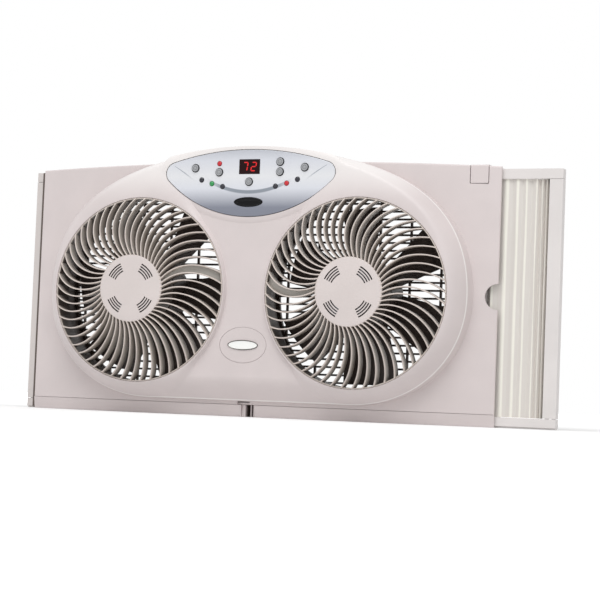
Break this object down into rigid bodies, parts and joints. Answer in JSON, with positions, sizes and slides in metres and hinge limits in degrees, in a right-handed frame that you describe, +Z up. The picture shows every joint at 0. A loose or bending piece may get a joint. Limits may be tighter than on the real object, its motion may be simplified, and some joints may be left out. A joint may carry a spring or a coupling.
{
  "type": "twin window fan",
  "caption": "Twin window fan with spiral grilles, a panel of push buttons and side extenders with pleated curtains that slide out to fill the window.",
  "frame": {"origin": "centre of the face that rests on the window sill, below the middle of the extender channels", "axes": "+X to the right seen from the room, +Y outdoors from front to back, +Z up"},
  "size_m": [0.678, 0.1194, 0.321],
  "materials": {
    "housing": "fine satin moulded plastic",
    "extender_frame": "satin extruded plastic",
    "steel": "zinc plated",
    "motor_can": "plain steel can",
    "cord_inlet": "matt",
    "dark_plastic": "satin moulded plastic",
    "grille": "satin moulded plastic",
    "control_plate": "pearl silver, glossy",
    "display_window": "dark red, glossy",
    "display_digits": "lit red",
    "sensor_window": "black, glossy",
    "circuit_board": "coated laminate",
    "button": "satin grey",
    "dark_indicator": "unlit lens",
    "red_indicator": "lit lens",
    "green_indicator": "lit lens",
    "badge": "polished rim, satin field",
    "curtain": "pleated coated sheet"
  },
  "bodies": {
    "housing": {"front_shell": "housing", "rear_shell": "housing", "sill_strip_left": "housing", "sill_strip_right": "housing", "sill_socket": "housing", "bottom_channel": "housing", "top_channel": "housing", "side_post_left": "extender_frame", "centre_post": "extender_frame", "side_post_right": "extender_frame", "housing_screws": "steel", "cord_inlet": "cord_inlet", "duct_left": "dark_plastic", "duct_right": "dark_plastic", "front_grille_left": "grille", "front_grille_right": "grille", "hub_cap_left": "grille", "hub_cap_right": "grille", "motor_left": "motor_can", "motor_right": "motor_can", "motor_screws": "steel", "rear_grille_left": "dark_plastic", "rear_grille_right": "dark_plastic", "control_plate": "control_plate", "display_window": "display_window", "display_digits": "display_digits", "sensor_window": "sensor_window", "control_board": "circuit_board", "dark_indicators": "dark_indicator", "red_indicators": "red_indicator", "green_indicator": "green_indicator", "badge_plate": "housing", "badge": "badge"},
    "left_fan": {"fan_shaft_left": "steel", "impeller_left": "dark_plastic", "impeller_nut_left": "steel"},
    "right_fan": {"fan_shaft_right": "steel", "impeller_right": "dark_plastic", "impeller_nut_right": "steel"},
    "left_extender": {"top_rail_left": "extender_frame", "bottom_rail_left": "extender_frame", "end_bar_left": "extender_frame", "curtain_left": "curtain"},
    "right_extender": {"top_rail_right": "extender_frame", "bottom_rail_right": "extender_frame", "end_bar_right": "extender_frame", "curtain_right": "curtain"},
    "lock": {"extender_lock": "housing"},
    "power_button": {"power_button": "button"},
    "mode_button": {"mode_button": "button"},
    "speed_button": {"speed_button": "button"},
    "temp_up_button": {"temp_up_button": "button"},
    "temp_down_button": {"temp_down_button": "button"},
    "timer_button": {"timer_button": "button"}
  },
  "joints": [
    {"name": "left_fan_spin", "type": "hinge", "parent": "housing", "child": "left_fan", "pos_m": [-0.1383, -0.015, 0.148], "axis": [0, 1, 0], "continuous": true},
    {"name": "right_fan_spin", "type": "hinge", "parent": "housing", "child": "right_fan", "pos_m": [0.1383, -0.015, 0.148], "axis": [0, 1, 0], "continuous": true},
    {"name": "left_extender_slide", "type": "slide", "parent": "housing", "child": "left_extender", "axis": [-1, 0, 0], "range_m": [0, 0.16], "deforming": ["curtain_left"]},
    {"name": "right_extender_slide", "type": "slide", "parent": "housing", "child": "right_extender", "axis": [1, 0, 0], "range_m": [-0.058, 0.102], "deforming": ["curtain_right"]},
    {"name": "lock_slide", "type": "slide", "parent": "housing", "child": "lock", "axis": [0, 0, 1], "range_m": [0, 0.005]},
    {"name": "power_button_press", "type": "slide", "parent": "housing", "child": "power_button", "axis": [0, 1, 0], "range_m": [0, 0.001], "stiffness_N_per_m": 400, "springref_m": -0.0005},
    {"name": "mode_button_press", "type": "slide", "parent": "housing", "child": "mode_button", "axis": [0, 1, 0], "range_m": [0, 0.001], "stiffness_N_per_m": 400, "springref_m": -0.0005},
    {"name": "speed_button_press", "type": "slide", "parent": "housing", "child": "speed_button", "axis": [0, 1, 0], "range_m": [0, 0.001], "stiffness_N_per_m": 400, "springref_m": -0.0005},
    {"name": "temp_up_button_press", "type": "slide", "parent": "housing", "child": "temp_up_button", "axis": [0, 1, 0], "range_m": [0, 0.001], "stiffness_N_per_m": 400, "springref_m": -0.0005},
    {"name": "temp_down_button_press", "type": "slide", "parent": "housing", "child": "temp_down_button", "axis": [0, 1, 0], "range_m": [0, 0.001], "stiffness_N_per_m": 400, "springref_m": -0.0005},
    {"name": "timer_button_press", "type": "slide", "parent": "housing", "child": "timer_button", "axis": [0, 1, 0], "range_m": [0, 0.001], "stiffness_N_per_m": 400, "springref_m": -0.0005}
  ]
}
